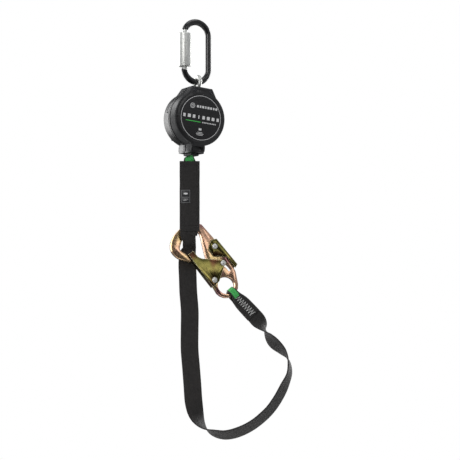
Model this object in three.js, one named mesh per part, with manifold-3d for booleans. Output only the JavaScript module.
// A self retracting lifeline: a webbing reel under a twist-lock carabiner, with a leg of webbing
// that ends in a double-locking snap hook, clipped back round its own webbing for storage.
// Millimetres, +Z up. The origin is the inner top of the carabiner, where the lifeline hangs.
import * as THREE from "three";
import { mergeVertices } from "three/addons/utils/BufferGeometryUtils.js";
import Module from "manifold-3d";

const GAP = 0.3; // between pieces that touch on the real object
const FINE = 32; // sides of a large round piece
const CURVE = 12; // steps in each curve of a housing outline
const COARSE = 16; // sides of a small round piece
const SMALL = 12; // sides of a pin or its hole
const THROUGH = 30; // half the length of a tool that cuts right through a piece

// Carabiner: a round bar bent to an oval in the XZ plane, gate on the -X side.
const BAR_R = 5;
const BOW_R = 22.5;
const BOW_TOP_Z = -17.5;
const BOW_BOTTOM_Z = -72.5;
const GATE_X = -21.5;
const GATE_TOP_Z = -10;
const GATE_R = 4.4;
const HINGE_Z = -72.2;
const HINGE_ANGLE = 184; // degrees round the bow's bottom arc where the bar ends at the hinge
const NOSE_ANGLE = 158; // and round its top arc where it ends at the nose
const HINGE_HOLE_R = 1.9;
const HINGE_PIN_R = 1.5;
const PLUNGER_R = 1.4; // pushes the gate shut from a bore up its middle
const TONGUE_HALF = 2; // half the thickness of the bow's tongue in the gate's fork
const SLEEVE_R = 10.3;
const SLEEVE_TOP_Z = -15.6;
const SLEEVE_BOTTOM_Z = -70.9;

// Reel housing: its own frame has the drum's axis along Y and the front cover on the -Y side.
const HANG_X = 2; // where the swivel eye bears on the bar
const HANG_Z = -95;
const DROP = 63; // from the bar's centre to the drum's centre
const LEAN = THREE.MathUtils.degToRad(5.5);
const SHELL_R = 46;
const WALL = 2.5;
const DEPTH = 25; // half the housing's depth
const LUG_TOP = 51.5;
const LUG_TOP_HALF = 18;
const LUG_BASE_HALF = 26.5;
const MOUTH_HALF = 13.5;
const MOUTH_END_HALF = 12.5;
const MOUTH_BOTTOM = -57.5;
const SEAM = 0.6; // half the seam gasket's thickness
const WIDE = 70; // further than the housing reaches on any side
const SHANK_R = 4; // of the swivel eye
const SHANK_HOLE_R = 4.6;
const SCREW_R = 1.7;
const SCREW_HEAD_R = 3.1;
const SCREW_REACH = 12; // past the seam, into the other cover
const MOUTH_CAVITY = 6; // half the mouth's inside, across the webbing's face
const MOUTH_CAVITY_Y = 14.3; // and along the drum's axis
const THROAT_HALF = 9.5; // half the wider way between the mouth and the drum's hollow
const LABEL_R = 38;
const AXLE_R = 5;
const AXLE_NECK_R = 3.8;
const AXLE_SHOULDER_Y = -19.6;
const AXLE_END_Y = -21.8;
const DRUM_BORE_R = 7.6; // round the drum's two bushes
const HUB_R = 18;
const COIL_R = 31.5;
const FLANGE_R = 34;
const WEB_HALF = 10; // half the width of the drum webbing
const WEB_THICK = 1.6;
const RATCHET_TEETH = 12;
const RATCHET_R = 38;
const PAWL_REACH = 29.8;
const PAWL_PIN_R = 22;
const PLATE_HOLE_R = 1.8; // for a pawl's pin
// Layers along the drum's axis, each from its front to its rear.
const RATCHET_LAYER = [-15.2, -12.4];
const PAWL_LAYER = [-15, -12.5];
const PLATE_LAYER = [-12.2, -10.7];
const HUB_LAYER = [-10.4, 10.4];
const FLANGE_LAYER = [10.4, 12];
const CUP_LAYER = [12.5, 19.8];
const SPRING_LAYER = [13.9, 19.4];

// The leg: everything below the housing faces one way, turned from X about Z.
const FACING = THREE.MathUtils.degToRad(-29);
const COVER_X = -10.9;
const COVER_Y = -4.6;
const COVER_TOP_Z = -227.5;
const COVER_BOTTOM_Z = -343.5;
const COVER_WIDTH = 33.4;
const COVER_THICK = 8;
const TAG_X = -17.3; // nearer the cover's left edge
const LEG_THICK = 2.4;

// Snap hook: its own frame has the eye's centre as origin, +X from bend to eye, +Y to the spine.
const HOOK_AT = new THREE.Vector3(48.9, 8, -435.2);
const HOOK_SLANT = THREE.MathUtils.degToRad(50.27);
const HOOK_TURN = THREE.MathUtils.degToRad(20);
const HOOK_HALF = 5.5; // half the forging's thickness
const EYE_HOLE_R = 15;
const EYE_R = 20.9;
const CHEEK_IN = 6;
const CHEEK_OUT = 7.5;
const LEVER_PIVOT = [-62.3, 27.3];
const GATE_PIVOT = [-19.4, -10.7];
const STOP_PIN = [-31.9, 19.8];
const RIVET_R = 2.6;
const RIVET_HEAD_R = 4.5;
const GATE_SWING = 25; // degrees
const STOP_BOSS_R = 5.2; // round the stop pin, at the gate's top

const wasm = await Module();
wasm.setup();

// ---- solids -------------------------------------------------------------------------------

function toSolid(geometry) {
  const bare = geometry.clone();
  bare.deleteAttribute("normal");
  bare.deleteAttribute("uv");
  const merged = mergeVertices(bare, 1e-4);
  return new wasm.Manifold(
    new wasm.Mesh({
      numProp: 3,
      vertProperties: new Float32Array(merged.attributes.position.array),
      triVerts: new Uint32Array(merged.index.array),
    }),
  );
}

function toGeometry(solid) {
  const mesh = solid.getMesh();
  const geometry = new THREE.BufferGeometry();
  geometry.setAttribute("position", new THREE.BufferAttribute(mesh.vertProperties, 3));
  geometry.setIndex(new THREE.BufferAttribute(mesh.triVerts, 1));
  geometry.computeVertexNormals();
  return geometry;
}

function join(...geometries) {
  return toGeometry(geometries.map(toSolid).reduce((a, b) => a.add(b)));
}

function cut(geometry, ...tools) {
  return toGeometry(tools.map(toSolid).reduce((a, b) => a.subtract(b), toSolid(geometry)));
}

function common(a, b) {
  return toGeometry(toSolid(a).intersect(toSolid(b)));
}

function box(x0, x1, y0, y1, z0, z1) {
  const geometry = new THREE.BoxGeometry(x1 - x0, y1 - y0, z1 - z0);
  return geometry.translate((x0 + x1) / 2, (y0 + y1) / 2, (z0 + z1) / 2);
}

// A round bar along Y, from y0 to y1, centred on (x, z).
function barY(radius, y0, y1, x = 0, z = 0, sides = COARSE) {
  return new THREE.CylinderGeometry(radius, radius, y1 - y0, sides).translate(x, (y0 + y1) / 2, z);
}

// A round bar along Z, from z0 to z1, centred on (x, y).
function barZ(radius, z0, z1, x = 0, y = 0, sides = COARSE) {
  const bar = new THREE.CylinderGeometry(radius, radius, z1 - z0, sides);
  return bar.rotateX(Math.PI / 2).translate(x, y, (z0 + z1) / 2);
}

// The shape as plain points, without the doubled ones where its curves meet.
function distinct(shape, segments) {
  const { shape: outline, holes } = shape.extractPoints(segments);
  const apart = (points) => points.filter((p, i) => p.distanceTo(points[(i + 1) % points.length]) > 0.01);
  const plain = new THREE.Shape(apart(outline));
  plain.holes = holes.map((hole) => new THREE.Path(apart(hole)));
  return plain;
}

// A shape drawn in X and Z, given a thickness from y0 to y1.
function slabY(shape, y0, y1, bevel = 0) {
  const slab = new THREE.ExtrudeGeometry(distinct(shape, CURVE), {
    depth: y1 - y0 - 2 * bevel,
    bevelEnabled: bevel > 0,
    bevelThickness: bevel,
    bevelSize: bevel,
    bevelOffset: -bevel,
    bevelSegments: 2,
  });
  return slab.translate(0, 0, -y1 + bevel).rotateX(Math.PI / 2);
}

// A shape drawn in X and Y, given a thickness from z0 to z1.
function slabZ(shape, z0, z1, bevel = 0) {
  const slab = new THREE.ExtrudeGeometry(distinct(shape, CURVE / 3), {
    depth: z1 - z0 - 2 * bevel,
    bevelEnabled: bevel > 0,
    bevelThickness: bevel,
    bevelSize: bevel,
    bevelOffset: -bevel,
    bevelSegments: 2,
  });
  return slab.translate(0, 0, z0 + bevel);
}

function polygon(points) {
  return new THREE.Shape(points.map(([x, y]) => new THREE.Vector2(x, y)));
}

function disc(radius, x = 0, y = 0) {
  return new THREE.Shape().absarc(x, y, radius, 0, 2 * Math.PI, false);
}

function ring(outer, inner, y0, y1, sides = FINE) {
  const profile = [
    [inner, y0],
    [outer, y0],
    [outer, y1],
    [inner, y1],
    [inner, y0],
  ];
  return new THREE.LatheGeometry(profile.map(([r, y]) => new THREE.Vector2(r, y)), sides);
}

function tube(points, radius, steps, sides) {
  return new THREE.ExtrudeGeometry(disc(radius), {
    steps,
    curveSegments: sides / 2,
    bevelEnabled: false,
    extrudePath: new THREE.CatmullRomCurve3(points, false, "centripetal"),
  });
}

function arcPoints(radius, centreX, centreZ, from, to, count) {
  return Array.from({ length: count + 1 }, (_, i) => {
    const angle = THREE.MathUtils.degToRad(from + ((to - from) * i) / count);
    return new THREE.Vector3(centreX + radius * Math.cos(angle), 0, centreZ + radius * Math.sin(angle));
  });
}

// A coil spring along Z, from z0 to z1.
function coilSpring(radius, wire, turns, z0, z1) {
  const perTurn = 8;
  const count = turns * perTurn;
  const points = Array.from({ length: count + 1 }, (_, i) => {
    const angle = (2 * Math.PI * i) / perTurn;
    const z = z0 + wire + ((z1 - z0 - 2 * wire) * i) / count;
    return new THREE.Vector3(radius * Math.cos(angle), radius * Math.sin(angle), z);
  });
  return tube(points, wire, count, 4);
}

// A flat strap. Each station is [x, y, z, turn, width]; acrossAt gives the strap's width direction.
function strap(stations, thickness, steps, acrossAt) {
  const curve = (points) => new THREE.CatmullRomCurve3(points, false, "catmullrom", 0.5);
  const path = curve(stations.map(([x, y, z]) => new THREE.Vector3(x, y, z)));
  const lay = curve(stations.map(([, , , turn, width]) => new THREE.Vector3(turn, width, 0)));
  const half = thickness / 2;
  const shoulder = half * 0.3; // where the rounded edge begins, out from the middle
  const rim = 0.48; // the flat face's edge, as a share of the width
  const section = polygon([
    [-0.5, -shoulder],
    [-rim, -half],
    [rim, -half],
    [0.5, -shoulder],
    [0.5, shoulder],
    [rim, half],
    [-rim, half],
    [-0.5, shoulder],
  ]);
  const geometry = new THREE.ExtrudeGeometry(section, { depth: 1, steps, bevelEnabled: false });
  const position = geometry.attributes.position;
  const point = new THREE.Vector3();
  for (let i = 0; i < position.count; i++) {
    const u = position.getZ(i);
    const tangent = path.getTangent(u);
    const { x: turn, y: width } = lay.getPoint(u);
    const across = acrossAt(tangent, THREE.MathUtils.degToRad(turn)).normalize();
    const face = new THREE.Vector3().crossVectors(tangent, across).normalize();
    across.crossVectors(face, tangent);
    point.copy(path.getPoint(u));
    point.addScaledVector(across, position.getX(i) * width);
    point.addScaledVector(face, position.getY(i));
    position.setXYZ(i, point.x, point.y, point.z);
  }
  geometry.computeVertexNormals();
  return geometry;
}

// The width direction of a strap that runs in a plane facing -Y: 0 lies flat in that plane, and
// a positive turn moves its right edge away.
function acrossFlat(tangent, turn) {
  const facing = new THREE.Vector3(0, -1, 0);
  const side = facing.clone().cross(tangent).normalize();
  const normal = tangent.clone().cross(side);
  return side.multiplyScalar(Math.cos(turn)).addScaledVector(normal, -Math.sin(turn));
}

// The width direction of a strap whose turn is a heading about Z.
function acrossHeading(tangent, turn) {
  return new THREE.Vector3(Math.cos(turn), Math.sin(turn), 0);
}

function part(group, name, geometry, color, roughness, metalness) {
  const material = new THREE.MeshStandardMaterial({ color, roughness, metalness });
  const mesh = new THREE.Mesh(geometry, material);
  mesh.name = name;
  group.add(mesh);
  return mesh;
}

const blackPaint = ["#101011", 0.25, 0.3];
const steel = ["#c9ccd0", 0.25, 1];
const plated = ["#b3a86a", 0.35, 0.9];
const forged = ["#c9a48c", 0.35, 0.9];
const plastic = ["#161617", 0.35, 0];
const nylon = ["#8f9194", 0.5, 0];
const rubber = ["#1b1b1b", 0.8, 0];
const blackWeb = ["#34302f", 0.85, 0];
const greenWeb = ["#46b450", 0.8, 0];
const brass = ["#b08d4a", 0.4, 0.9];

// ---- carabiner ----------------------------------------------------------------------------

function carabinerFrame() {
  const bottom = arcPoints(BOW_R, 0, BOW_BOTTOM_Z, HINGE_ANGLE, 360, 12);
  const top = arcPoints(BOW_R, 0, BOW_TOP_Z, 0, NOSE_ANGLE, 11);
  const straight = BOW_TOP_Z - BOW_BOTTOM_Z;
  const spine = [1 / 3, 2 / 3].map((t) => new THREE.Vector3(BOW_R, 0, BOW_BOTTOM_Z + t * straight));
  const bar = tube([...bottom, ...spine, ...top], BAR_R, 40, SMALL);
  const shoulder = barY(BAR_R + GAP, -THROUGH, THROUGH, GATE_X, HINGE_Z);
  const noseCut = box(GATE_X - 8, GATE_X + 12, -THROUGH, THROUGH, GATE_TOP_Z - 7, GATE_TOP_Z + 0.6);
  const wide = 3.5; // half the tongue's width
  const tongue = join(
    box(GATE_X - wide, GATE_X + wide, -TONGUE_HALF, TONGUE_HALF, HINGE_Z - 8, HINGE_Z),
    barY(wide, -TONGUE_HALF, TONGUE_HALF, GATE_X, HINGE_Z),
  );
  return cut(join(cut(bar, shoulder, noseCut), tongue), hingeHole());
}

function hingeHole() {
  return barY(HINGE_HOLE_R, -THROUGH, THROUGH, GATE_X, HINGE_Z, SMALL);
}

function carabinerGate() {
  const slotHalf = TONGUE_HALF + GAP + 0.1;
  const slotWide = GATE_R + 2.6;
  const shank = barZ(GATE_R, HINGE_Z, GATE_TOP_Z, GATE_X, 0);
  const knuckle = common(
    barY(GATE_R + 0.2, -GATE_R, GATE_R, GATE_X, HINGE_Z),
    barZ(GATE_R, HINGE_Z - 6, HINGE_Z + 1, GATE_X, 0),
  );
  const slot = box(GATE_X - slotWide, GATE_X + slotWide, -slotHalf, slotHalf, HINGE_Z - 7, HINGE_Z + 4.6);
  const springBore = barZ(PLUNGER_R + 0.4, HINGE_Z + 4, HINGE_Z + 20, GATE_X, 0, SMALL);
  return cut(join(shank, knuckle), slot, hingeHole(), springBore);
}

function lockingSleeve() {
  const bore = GATE_R + 0.6;
  const shell = new THREE.LatheGeometry(
    [
      [bore, SLEEVE_BOTTOM_Z],
      [SLEEVE_R - 1, SLEEVE_BOTTOM_Z],
      [SLEEVE_R, SLEEVE_BOTTOM_Z + 1],
      [SLEEVE_R, SLEEVE_TOP_Z - 1],
      [SLEEVE_R - 1, SLEEVE_TOP_Z],
      [bore, SLEEVE_TOP_Z],
      [bore, SLEEVE_BOTTOM_Z],
    ].map(([r, z]) => new THREE.Vector2(r, z)),
    28,
  ).rotateX(Math.PI / 2);
  const notchHalf = 4.6;
  const notchDeep = 7;
  // A notch with a round inner end at height deep, open to height mouth.
  const notch = (deep, mouth) => {
    const reach = SLEEVE_R + 2;
    const round = new THREE.CylinderGeometry(notchHalf, notchHalf, reach, COARSE).rotateZ(Math.PI / 2);
    const straight = box(0, reach, -notchHalf, notchHalf, Math.min(deep, mouth), Math.max(deep, mouth));
    return join(straight, round.translate(reach / 2, 0, deep));
  };
  const topNotch = notch(SLEEVE_TOP_Z - notchDeep, SLEEVE_TOP_Z + 2);
  const bottomNotch = notch(SLEEVE_BOTTOM_Z + notchDeep, SLEEVE_BOTTOM_Z - 2);
  return cut(shell, topNotch, bottomNotch).translate(GATE_X, 0, 0);
}

function carabiner() {
  const group = new THREE.Group();
  part(group, "carabiner_frame", carabinerFrame(), ...blackPaint);
  part(group, "carabiner_gate", carabinerGate(), ...steel);
  part(group, "locking_sleeve", lockingSleeve(), ...steel);
  part(group, "carabiner_hinge_pin", barY(HINGE_PIN_R, -4.2, 4.2, GATE_X, HINGE_Z, SMALL), ...steel);
  const plunger = part(group, "carabiner_plunger", barZ(PLUNGER_R, 0, 5, 0, 0, SMALL), ...brass);
  plunger.position.set(GATE_X, 0, HINGE_Z + 4.8);
  const spring = part(group, "carabiner_gate_spring", coilSpring(0.95, 0.3, 5, 0, 9), ...steel);
  spring.position.set(GATE_X, 0, HINGE_Z + 10.2);
  return group;
}

// ---- swivel and housing -------------------------------------------------------------------

function swivelEye() {
  const hole = 6.4;
  const wire = 3.3;
  const centre = DROP - 0.9; // above the drum's centre
  const torus = new THREE.TorusGeometry(hole + wire, wire, 10, 24).rotateY(Math.PI / 2);
  const below = box(-THROUGH, THROUGH, -THROUGH, THROUGH, LUG_TOP - 9, LUG_TOP + GAP);
  const loop = cut(torus.translate(0, 0, centre), below);
  const baseTop = centre - hole - 1.4;
  const base = new THREE.LatheGeometry(
    [
      [0, LUG_TOP + GAP],
      [8.6, LUG_TOP + GAP],
      [9.6, LUG_TOP + 1.3],
      [5.6, baseTop - 0.6],
      [0, baseTop - 0.6],
    ].map(([r, z]) => new THREE.Vector2(r, z)),
    COARSE,
  ).rotateX(Math.PI / 2);
  const shank = barZ(SHANK_R, 37, LUG_TOP + 2);
  const bore = new THREE.CylinderGeometry(hole, hole, THROUGH, 28).rotateZ(Math.PI / 2);
  return cut(join(loop, base, shank), bore.translate(0, 0, centre));
}

// The housing's outline, drawn in from its outer edge by inset.
function shellOutline(inset) {
  const r = SHELL_R - inset;
  const lugBase = Math.acos((LUG_BASE_HALF - inset) / r);
  const mouthTop = Math.acos((MOUTH_HALF - inset) / r);
  const outline = new THREE.Shape();
  outline.moveTo(-LUG_TOP_HALF + inset, LUG_TOP - inset);
  outline.lineTo(LUG_TOP_HALF - inset, LUG_TOP - inset);
  outline.absarc(0, 0, r, lugBase, -mouthTop, true);
  outline.lineTo(MOUTH_END_HALF - inset, MOUTH_BOTTOM + inset);
  outline.lineTo(-MOUTH_END_HALF + inset, MOUTH_BOTTOM + inset);
  outline.absarc(0, 0, r, mouthTop - Math.PI, Math.PI - lugBase, true);
  return outline;
}

// The webbing's way out, from y0 to y1: the mouth, and the wider throat above it.
function mouthWay(y0, y1, spare = 0) {
  const mouth = MOUTH_CAVITY + spare;
  const throat = THROAT_HALF + spare;
  return join(
    box(-mouth, mouth, y0, y1, MOUTH_BOTTOM - 3, -40),
    box(-throat, throat, y0, y1, -48 - spare, -36),
  );
}

// The hollow of the lug, from y0 to y1.
function lugCavity(y0, y1) {
  return slabY(polygon([[-20, 30], [-11, LUG_TOP - WALL], [11, LUG_TOP - WALL], [20, 30]]), y0, y1);
}

// Each cover screw's x and z, and the side that its head is on.
const SCREWS = [
  [-14.5, 44.5, -1],
  [14.5, 44.5, -1],
  [-25, -34.5, 1],
  [25, -34.5, 1],
];

// One cover; side is -1 for the front and 1 for the rear, which is made facing front and turned about.
function cover(side) {
  const seam = -SEAM - GAP;
  const past = 2; // how far a tool runs beyond the face that it opens
  const half = box(-WIDE, WIDE, -DEPTH - 1, seam, -WIDE, WIDE);
  const outer = common(slabY(shellOutline(0), -DEPTH, 8, 4), half);
  const flange = common(slabY(shellOutline(-1), -3, 0), box(-WIDE, WIDE, -4, seam, -56, 50));
  const cavity = join(
    barY(SHELL_R - WALL, -DEPTH + WALL, past, 0, 0, FINE),
    lugCavity(-DEPTH + WALL, past),
  );
  const bosses = SCREWS.map(([x, z]) => barY(SCREW_HEAD_R + 0.5, -DEPTH + 1, seam, x, z));
  const mouthBlock = box(-MOUTH_HALF + 1, MOUTH_HALF - 1, -DEPTH + 1, seam, -54, -46);
  const hollow = cut(join(outer, flange), cavity);
  const shell = join(hollow, mouthBlock, ...bosses.map((boss) => common(boss, outer)));
  const tools = [mouthWay(-MOUTH_CAVITY_Y, past + 1), barZ(SHANK_HOLE_R, LUG_TOP - 6, LUG_TOP + past + 1)];
  SCREWS.forEach(([x, z, headSide]) => {
    const headed = headSide === side;
    const start = headed ? -DEPTH - past : -SCREW_REACH - 2;
    tools.push(barY(SCREW_R + GAP, start, past, x, z, SMALL));
    if (headed) tools.push(barY(SCREW_HEAD_R + 0.4, start, -DEPTH + 2.6, x, z));
  });
  if (side < 0) {
    const window = 8.5;
    tools.push(barY(LABEL_R, -DEPTH - past, -DEPTH + 0.5, 0, 0, FINE));
    tools.push(box(-window, window, -DEPTH - past, -DEPTH + 6, -53.5, -47.5));
  } else {
    const drainR = 1.5;
    const drain = new THREE.CylinderGeometry(drainR, drainR, 12, SMALL).rotateZ(Math.PI / 2);
    tools.push(drain.translate(SHELL_R, -9, 6));
  }
  const made = cut(shell, ...tools);
  return side < 0 ? made : made.rotateZ(Math.PI);
}

// The gasket lies in two strips, one each side, between the swivel's shank and the mouth.
function gasket(side) {
  const past = 1; // how far a tool runs beyond the gasket's faces
  const outer = slabY(shellOutline(0.4), -SEAM, SEAM);
  const inner = barY(SHELL_R - WALL + 0.2, -SEAM - past, SEAM + past, 0, 0, FINE);
  const lug = lugCavity(-SEAM - past, SEAM + past);
  const mouth = mouthWay(-SEAM - past, SEAM + past, 0.2);
  const shank = barZ(SHANK_HOLE_R + 0.2, LUG_TOP - 6, LUG_TOP + 3);
  const holes = SCREWS.map(([x, z]) => barY(SCREW_R + 0.4, -SEAM - past, SEAM + past, x, z, SMALL));
  const whole = cut(outer, inner, lug, mouth, shank, ...holes);
  return common(whole, box(side < 0 ? -WIDE : 0, side < 0 ? 0 : WIDE, -DEPTH, DEPTH, -WIDE, WIDE));
}

function loadFrame() {
  const front = -17.5;
  const rear = DEPTH - WALL - GAP;
  const thick = 2;
  const top = 46.5;
  const half = 10;
  const foot = -12; // centre of each strip's round end
  const strip = (y) => [
    box(-half, half, y, y + thick, foot, top),
    barY(half, y, y + thick, 0, foot),
  ];
  const bridge = box(-half, half, front, rear, top - 3, top);
  const bracket = join(...strip(front), ...strip(rear - thick), bridge);
  return cut(bracket, barY(AXLE_R + GAP, -THROUGH, THROUGH), barZ(SHANK_HOLE_R, top - 6, top + 4));
}

function axle() {
  const rear = DEPTH - WALL - GAP;
  return join(barY(AXLE_R, AXLE_SHOULDER_Y, rear), barY(AXLE_NECK_R, AXLE_END_Y, AXLE_SHOULDER_Y + 0.6));
}

function axleClip() {
  return ring(AXLE_R + 2, AXLE_NECK_R + GAP, AXLE_END_Y + 0.4, AXLE_SHOULDER_Y - GAP, COARSE);
}

function drum() {
  const [front, rear] = HUB_LAYER;
  const outside = FLANGE_LAYER[1];
  const profile = [
    [DRUM_BORE_R, front],
    [HUB_R, front],
    [HUB_R, rear],
    [FLANGE_R, rear],
    [FLANGE_R, outside],
    [DRUM_BORE_R, outside],
    [DRUM_BORE_R, front],
  ];
  return new THREE.LatheGeometry(profile.map(([r, y]) => new THREE.Vector2(r, y)), FINE);
}

function pawlPlate() {
  const plate = ring(FLANGE_R, DRUM_BORE_R, ...PLATE_LAYER);
  const holes = [0, 1].map((i) => barY(PLATE_HOLE_R, -THROUGH, THROUGH, ...pawlPin(i), SMALL));
  return cut(plate, ...holes);
}

function pawlPin(i) {
  const angle = THREE.MathUtils.degToRad(90 + 180 * i);
  return [PAWL_PIN_R * Math.cos(angle), PAWL_PIN_R * Math.sin(angle)];
}

// A pawl pivots on its pin, and its toe points round the plate towards the ring's teeth.
function pawl() {
  const along = 12; // from the pin to the toe, round the plate
  const toe = Math.sqrt(PAWL_REACH ** 2 - along ** 2) - PAWL_PIN_R;
  const body = polygon([
    [-3.4, -3],
    [3.4, -3.2],
    [along + 0.6, toe - 4.2],
    [along + 0.2, toe],
    [2, 3.6],
    [-3.4, 3],
  ]);
  return cut(slabY(body, ...PAWL_LAYER), barY(PLATE_HOLE_R, -THROUGH, THROUGH, 0, 0, SMALL));
}

function pawlSpring() {
  return slabY(polygon([[-13, -1.2], [-4, -1], [-4, -0.2], [-13, -0.4]]), -14.6, -12.6);
}

function ratchetRing() {
  const tip = 31;
  const root = 35;
  const teeth = new THREE.Path();
  for (let i = 0; i < RATCHET_TEETH; i++) {
    const start = (2 * Math.PI * i) / RATCHET_TEETH;
    const end = (2 * Math.PI * (i + 1)) / RATCHET_TEETH;
    const points = [
      [tip, start],
      [root, start + 0.04],
      [root - 1, (start + end) / 2],
    ];
    points.forEach(([r, angle], k) => {
      const x = r * Math.cos(angle);
      const y = r * Math.sin(angle);
      if (i + k === 0) teeth.moveTo(x, y);
      else teeth.lineTo(x, y);
    });
  }
  const plate = disc(RATCHET_R);
  plate.holes.push(teeth);
  return slabY(plate, ...RATCHET_LAYER);
}

function springCup() {
  const outer = 30;
  const wall = 1.5;
  const floor = 0.9;
  const [front] = CUP_LAYER;
  return join(ring(outer, outer - wall, ...CUP_LAYER), ring(outer - 0.5, AXLE_R + 4, front, front + floor));
}

// The power spring's ribbon, wound from near the axle out to the cup.
function powerSpring() {
  const turns = 5;
  const perTurn = 14;
  const inner = 9;
  const outer = 27.4;
  const thick = 0.8;
  const edge = (extra) =>
    Array.from({ length: turns * perTurn + 1 }, (_, i) => {
      const r = inner + ((outer - inner) * i) / (turns * perTurn) + extra;
      const angle = (2 * Math.PI * i) / perTurn;
      return [r * Math.cos(angle), r * Math.sin(angle)];
    });
  return slabY(polygon([...edge(0), ...edge(thick).reverse()]), ...SPRING_LAYER);
}

function mouthGuide() {
  const wide = MOUTH_CAVITY - GAP;
  const long = MOUTH_CAVITY_Y - GAP;
  const slot = 2.4;
  const wall = 2.6;
  const outer = box(-wide, wide, -long, long, MOUTH_BOTTOM, -49.5);
  return cut(outer, box(-slot, slot, -long + wall, long - wall, MOUTH_BOTTOM - 2, -48));
}

function mouthBumper() {
  const top = MOUTH_BOTTOM - GAP;
  const bottom = -61.4;
  const outline = polygon([[-7, bottom], [7, bottom], [7.6, top], [-7.6, top]]);
  return cut(slabY(outline, -14.5, 14.5, 0.8), box(-4, 4, -11.8, 11.8, bottom - 3, top + 3));
}

function drumBush(y0, y1) {
  return ring(DRUM_BORE_R - GAP, AXLE_R + GAP, y0, y1, COARSE);
}

// A cover screw along Y, its head on the side that it is turned to.
function coverScrew() {
  const headFront = -DEPTH + GAP;
  const head = barY(SCREW_HEAD_R, headFront, headFront + 2);
  const socket = new THREE.CylinderGeometry(1.5, 1.5, 3, 6).translate(0, -DEPTH, 0);
  return cut(join(head, barY(SCREW_R, headFront + 1.7, SCREW_REACH, 0, 0, SMALL)), socket);
}

function housing() {
  const group = new THREE.Group();
  group.position.set(HANG_X - DROP * Math.sin(LEAN), 0, HANG_Z - DROP * Math.cos(LEAN));
  group.rotation.y = LEAN;
  part(group, "swivel_eye", swivelEye(), ...steel);
  part(group, "front_cover", cover(-1), ...plastic);
  part(group, "rear_cover", cover(1), ...plastic);
  part(group, "seam_gasket_left", gasket(-1), ...rubber);
  part(group, "seam_gasket_right", gasket(1), ...rubber);
  part(group, "label_disc", barY(LABEL_R - GAP, -DEPTH - 0.1, -DEPTH + 0.2, 0, 0, FINE), "#0c0c0d", 0.6, 0);
  part(group, "load_frame", loadFrame(), ...steel);
  part(group, "swivel_bush", ring(8, SHANK_R + GAP, 46.8, 48.7, COARSE).rotateX(Math.PI / 2), ...brass);
  const nut = new THREE.CylinderGeometry(7, 7, 4.6, 6).rotateX(Math.PI / 2).translate(0, 0, 40.7);
  part(group, "swivel_nut", cut(nut, barZ(SHANK_R + GAP, 30, 50)), ...steel);
  part(group, "drum_axle", axle(), ...steel);
  part(group, "axle_clip", axleClip(), ...steel);
  part(group, "webbing_drum", drum(), ...plastic);
  part(group, "drum_bush_front", drumBush(-12, -1), ...brass);
  part(group, "drum_bush_rear", drumBush(1, 12), ...brass);
  part(group, "wound_webbing", ring(COIL_R, HUB_R + GAP, -WEB_HALF, WEB_HALF), ...greenWeb);
  part(group, "pawl_plate", pawlPlate(), ...steel);
  part(group, "ratchet_ring", ratchetRing(), ...steel);
  part(group, "spring_cup", springCup(), ...plastic);
  part(group, "power_spring", powerSpring(), ...steel);
  part(group, "mouth_guide", mouthGuide(), ...nylon);
  part(group, "mouth_bumper", mouthBumper(), ...rubber);
  for (let i = 0; i < 2; i++) {
    const [x, z] = pawlPin(i);
    const label = i === 0 ? "a" : "b";
    const turn = -Math.PI * i;
    const placed = [
      part(group, `pawl_${label}`, pawl(), ...steel),
      part(group, `pawl_pin_${label}`, barY(PLATE_HOLE_R - GAP, -15.2, -10.8, 0, 0, SMALL), ...steel),
      part(group, `pawl_spring_${label}`, pawlSpring(), ...steel),
    ];
    placed.forEach((mesh) => {
      mesh.position.set(x, 0, z);
      mesh.rotation.y = turn;
    });
  }
  SCREWS.forEach(([x, z, headSide], i) => {
    const screw = part(group, `cover_screw_${i + 1}`, coverScrew(), ...steel);
    screw.position.set(x, 0, z);
    if (headSide > 0) screw.rotation.z = Math.PI;
  });
  return group;
}

// ---- webbing and absorber -----------------------------------------------------------------

// From the drum to the absorber cover: [x, y, z, heading, width], in the lifeline's own frame.
const LEAD = [
  [-30.6, 0, -176.6, -90, 20],
  [-19.7, 0, -192, -90, 20],
  [-11.9, 0, -203.4, -90, 20],
  [-9.5, 0, -209.5, -90, 20],
  [-9.5, 0, -214.9, -90, 20],
  [-10, 0.2, -218.4, -88, 20],
  [-10.6, 0.5, -221, -74, 20],
  [-11.1, 0.8, -223, -54, 20],
  [-11.5, 1.1, -224.8, -36, 20],
  [-11.7, 1.2, -226.6, -29, 20],
  [-11.8, 1.3, -229.6, -29, 20],
  [-11.8, 1.3, -233, -29, 20],
];

// The leg: [x, y, z, turn, width], in the frame that faces with the absorber cover.
const LEG = [
  [-10.9, -4.6, -337, 0, 28],
  [-11, -4.6, -343.5, 0, 28],
  [-12.8, -3.6, -349.5, 8, 28],
  [-12, 1.6, -357, 24, 23.6],
  [-12.2, 9, -364.5, 27, 24],
  [-12.6, 15.6, -372, 25, 24.6],
  [-15.2, 17.6, -384, 10, 28.5],
  [-15.8, 16.5, -400, 4, 30],
  [-15, 14.5, -420, 0, 30],
  [-14, 13, -446, 0, 30],
  [-11.5, 11, -478, 0, 30],
  [-11.6, 10, -510, 0, 30],
  [-11.6, 9, -542, 0, 30],
  [-9, 8, -574, 0, 30],
  [-6.8, 7, -602, 2, 30],
  [-4.6, 6, -630, 12, 30],
  [0.6, 5, -652, 40, 30],
  [11, 4, -669, 80, 30],
  [26, 3, -680, 118, 30],
  [48, 2, -684.6, 132, 30],
  [74, 1, -678, 134, 30],
  [98, 1, -665, 132, 30],
  [119, 2, -647, 130, 30],
  [135, 3, -626.5, 128, 30],
  [147.5, 5, -603, 124, 30],
  [156, 7, -581, 110, 30],
  [154, 9, -560.5, 92, 30],
  [143.5, 10, -545, 62, 30],
  [130, 10, -531.5, 50, 30],
  [119, 9, -516, 74, 30],
  [112, 8.5, -503.5, 122, 29],
  [103.4, 9.6, -493.2, 156, 28],
  [96.7, 9.6, -485.6, 160, 27],
];

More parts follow.
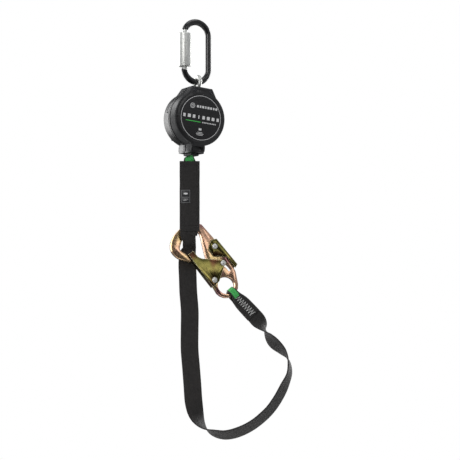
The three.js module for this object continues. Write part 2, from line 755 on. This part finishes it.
// The sewn end in the hook's frame, round the rim of the eye: [x, y, z, width].
const EYE_LOOP = [
  [68.5, 4.6, -1.7, 27],
  [44, 3, -1.8, 26],
  [34, 2, -2.4, 23],
  [27, 1.2, -5.6, 18],
  [20.5, 0.5, -8.2, 15],
  [14, 0.5, -7.8, 14],
  [11, 0.5, -3.6, 14],
  [10.4, 0.5, 0, 14],
  [11, 0.5, 3.6, 14],
  [14, 0.5, 7.8, 14],
  [20.5, 0.5, 8.2, 15],
  [27, 1.2, 5.6, 18],
  [34, 2, 2.4, 23],
  [44, 3, 1.8, 26],
  [68.5, 4.6, 1.7, 27],
];

// The pad between the sewn end and the rim, in the same form.
const WEAR_PAD = [
  [26.6, 0.5, 7.7, 12.5],
  [20.8, 0.5, 10.2, 12.5],
  [13.2, 0.5, 10, 12],
  [8.9, 0.5, 4.4, 12],
  [8.1, 0.5, 0, 12],
];

function absorberCover() {
  const half = COVER_WIDTH / 2;
  const thick = COVER_THICK / 2;
  const flat = half - 2.5; // where each flat face ends and the rounded side begins
  const skin = 0.8;
  const sideWall = 1.6;
  const outline = new THREE.Shape();
  outline.moveTo(-flat, -thick);
  outline.lineTo(flat, -thick);
  outline.quadraticCurveTo(half, -thick * 0.6, half, 0);
  outline.quadraticCurveTo(half, thick * 0.6, flat, thick);
  outline.lineTo(-flat, thick);
  outline.quadraticCurveTo(-half, thick * 0.6, -half, 0);
  outline.quadraticCurveTo(-half, -thick * 0.6, -flat, -thick);
  const outer = new THREE.ExtrudeGeometry(outline, {
    depth: COVER_TOP_Z - COVER_BOTTOM_Z,
    curveSegments: 4,
    bevelEnabled: false,
  }).translate(0, 0, COVER_BOTTOM_Z);
  const wide = half - sideWall;
  const deep = thick - skin;
  const inside = box(-wide, wide, -deep, deep, COVER_BOTTOM_Z - 2, COVER_TOP_Z + 2);
  return cut(outer, inside).translate(COVER_X, COVER_Y, 0);
}

function absorberPack() {
  const half = 12.5;
  const thick = 2.4;
  const bottom = COVER_BOTTOM_Z + 8;
  const top = COVER_TOP_Z - 7;
  return box(-half, half, -thick, thick, bottom, top).translate(COVER_X, COVER_Y, 0);
}

function coverTag() {
  const back = COVER_Y - COVER_THICK / 2 - GAP;
  const half = 7.6;
  const thick = 0.6;
  return box(TAG_X - half, TAG_X + half, back - thick, back, -297, -275);
}

function leg() {
  const group = new THREE.Group();
  group.rotation.z = FACING;
  part(group, "absorber_cover", absorberCover(), ...blackWeb);
  part(group, "absorber_pack", absorberPack(), ...greenWeb);
  part(group, "cover_tag", coverTag(), "#3c3c3e", 0.6, 0);
  part(group, "leg_webbing", strap(LEG, LEG_THICK, 76, acrossFlat), ...blackWeb);
  group.add(snapHook());
  return group;
}

// ---- snap hook ----------------------------------------------------------------------------

function hookForging() {
  const outline = new THREE.Shape();
  outline.moveTo(-68.6, -22.6);
  outline.splineThru(
    [
      [-78, -29],
      [-88, -34.6],
      [-100, -35.5],
      [-110.8, -30],
      [-118.5, -18],
      [-122, -2],
      [-120, 14],
      [-113.5, 28],
      [-105, 35],
    ].map(([x, y]) => new THREE.Vector2(x, y)),
  );
  outline.lineTo(-76, 36);
  outline.lineTo(-60, 35.4);
  outline.lineTo(-14, 29.4);
  outline.lineTo(-8, 28.6);
  outline.lineTo(EYE_R * Math.cos(1), EYE_R * Math.sin(1));
  outline.absarc(0, 0, EYE_R, 1, -Math.PI / 2 - 0.35, true);
  outline.absarc(...GATE_PIVOT, 7, -Math.PI / 2, -Math.PI - 0.6, true);
  outline.lineTo(-48, 0);
  outline.splineThru(
    [
      [-60, 5],
      [-72.7, 11.5],
      [-86, 18.6],
      [-96, 22.5],
      [-103.5, 18],
      [-107.5, 7],
      [-106.5, -4],
      [-101.5, -15],
      [-94.5, -22.5],
      [-83, -19.6],
      [-69.4, -19.4],
    ].map(([x, y]) => new THREE.Vector2(x, y)),
  );
  const eye = barZ(EYE_HOLE_R, -THROUGH, THROUGH, 0, 0, FINE);
  const body = slabZ(outline, -HOOK_HALF, HOOK_HALF, 1.4);
  return cut(body, eye, stopWindow(), rivetHole(GATE_PIVOT), rivetHole(LEVER_PIVOT));
}

// The window that the stop pin travels in as the gate swings.
function stopWindow() {
  const reach = Math.hypot(STOP_PIN[0] - GATE_PIVOT[0], STOP_PIN[1] - GATE_PIVOT[1]);
  const start = Math.atan2(STOP_PIN[1] - GATE_PIVOT[1], STOP_PIN[0] - GATE_PIVOT[0]);
  const end = start - THREE.MathUtils.degToRad(GATE_SWING);
  const margin = 3.4;
  const spare = margin / reach;
  const window = new THREE.Shape();
  window.absarc(...GATE_PIVOT, reach + margin, start + spare, end - spare, true);
  window.absarc(...GATE_PIVOT, reach - margin, end - spare, start + spare, false);
  return slabZ(window, -THROUGH, THROUGH);
}

function rivetHole([x, y]) {
  return barZ(RIVET_R + GAP, -THROUGH, THROUGH, x, y);
}

function rivet([x, y]) {
  const top = CHEEK_OUT + GAP;
  const half = [
    [RIVET_R, top],
    [RIVET_HEAD_R, top],
    [RIVET_HEAD_R, top + 0.7],
    [RIVET_HEAD_R * 0.7, top + 1.5],
    [0, top + 1.8],
  ];
  const profile = [...half.map(([r, z]) => [r, -z]).reverse(), ...half];
  const outline = profile.map(([r, z]) => new THREE.Vector2(r, z));
  return new THREE.LatheGeometry(outline, COARSE).rotateX(Math.PI / 2).translate(x, y, 0);
}

// A channel: an outline for both cheeks, and a strip that joins them.
function channel(outline, web, holes) {
  const cheeks = [slabZ(outline, CHEEK_IN, CHEEK_OUT), slabZ(outline, -CHEEK_OUT, -CHEEK_IN)];
  return cut(join(...cheeks, slabZ(web, -CHEEK_OUT, CHEEK_OUT)), ...holes.map(rivetHole));
}

function hookGate() {
  const outline = new THREE.Shape();
  outline.moveTo(-80.3, -17.8);
  outline.lineTo(-79.5, -7.2);
  outline.lineTo(-67.4, -7.3);
  outline.quadraticCurveTo(-60.5, -5.5, -55.5, 1.6);
  const bossFrom = THREE.MathUtils.degToRad(135);
  const bossTo = THREE.MathUtils.degToRad(-20);
  outline.absarc(...STOP_PIN, STOP_BOSS_R, bossFrom, bossTo, true);
  outline.lineTo(-12.6, -6);
  outline.lineTo(-12.4, -20.3);
  const web = polygon([[-80.3, -17.8], [-80.2, -16.3], [-12.5, -18.8], [-12.4, -20.3]]);
  return channel(outline, web, [GATE_PIVOT, STOP_PIN]);
}

function lockLever() {
  const outline = polygon([
    [-74.6, 30],
    [-70.4, 38.4],
    [-14.8, 38],
    [-12.6, 31.4],
    [-28.1, 31.4],
    [-36.2, 31.8],
    [-50.5, 14.6],
    [-66, 15.4],
    [-72.4, 24.9],
  ]);
  const web = polygon([[-71, 37], [-70.4, 38.4], [-14.8, 38], [-14.4, 36.6]]);
  return channel(outline, web, [LEVER_PIVOT]);
}

// A strip of spring steel inside a channel.
function leafSpring(points) {
  const half = 4;
  return slabZ(polygon(points), -half, half);
}

// A strap round the eye's rim, its width along the hook's own Y.
function eyeStrap(route, thickness, steps) {
  const stations = route.map(([x, y, z, width]) => [x, y, z, 90, width]);
  return strap(stations, thickness, steps, acrossHeading);
}

// The bar-tacked threads that close the loop, as one thin plate on its outer layer.
function stitchBlock() {
  return box(38, 66, -3, 10, 3.5, 4);
}

function snapHook() {
  const group = new THREE.Group();
  const along = new THREE.Vector3(Math.cos(HOOK_SLANT), 0, -Math.sin(HOOK_SLANT));
  const up = new THREE.Vector3(Math.sin(HOOK_SLANT), 0, Math.cos(HOOK_SLANT));
  const away = new THREE.Vector3(0, 1, 0);
  const spineward = up.multiplyScalar(Math.cos(HOOK_TURN)).addScaledVector(away, Math.sin(HOOK_TURN));
  const facing = along.clone().cross(spineward);
  group.setRotationFromMatrix(new THREE.Matrix4().makeBasis(along, spineward, facing));
  group.position.copy(HOOK_AT);
  part(group, "hook_forging", hookForging(), ...forged);
  part(group, "hook_gate", hookGate(), ...plated);
  part(group, "lock_lever", lockLever(), ...plated);
  part(group, "lever_rivet", rivet(LEVER_PIVOT), ...steel);
  part(group, "gate_rivet", rivet(GATE_PIVOT), ...steel);
  part(group, "gate_stop_pin", rivet(STOP_PIN), ...steel);
  part(group, "hook_gate_spring", leafSpring([[-62, -15], [-61, -15.8], [-34, -16.8], [-34, -16]]), ...steel);
  part(group, "lock_lever_spring", leafSpring([[-52, 36.4], [-52, 35.8], [-24, 34.4], [-24, 35]]), ...steel);
  part(group, "eye_loop_webbing", eyeStrap(EYE_LOOP, 2.2, 40), ...blackWeb);
  part(group, "wear_pad", eyeStrap(WEAR_PAD, 0.9, 16), ...greenWeb);
  part(group, "stitch_block", stitchBlock(), "#d8d8d8", 0.8, 0);
  return group;
}

// ---- whole --------------------------------------------------------------------------------

const lifeline = new THREE.Group();
lifeline.add(carabiner());
lifeline.add(housing());
part(lifeline, "lead_webbing", strap(LEAD, WEB_THICK, 32, acrossHeading), ...greenWeb);
lifeline.add(leg());

export default lifeline;
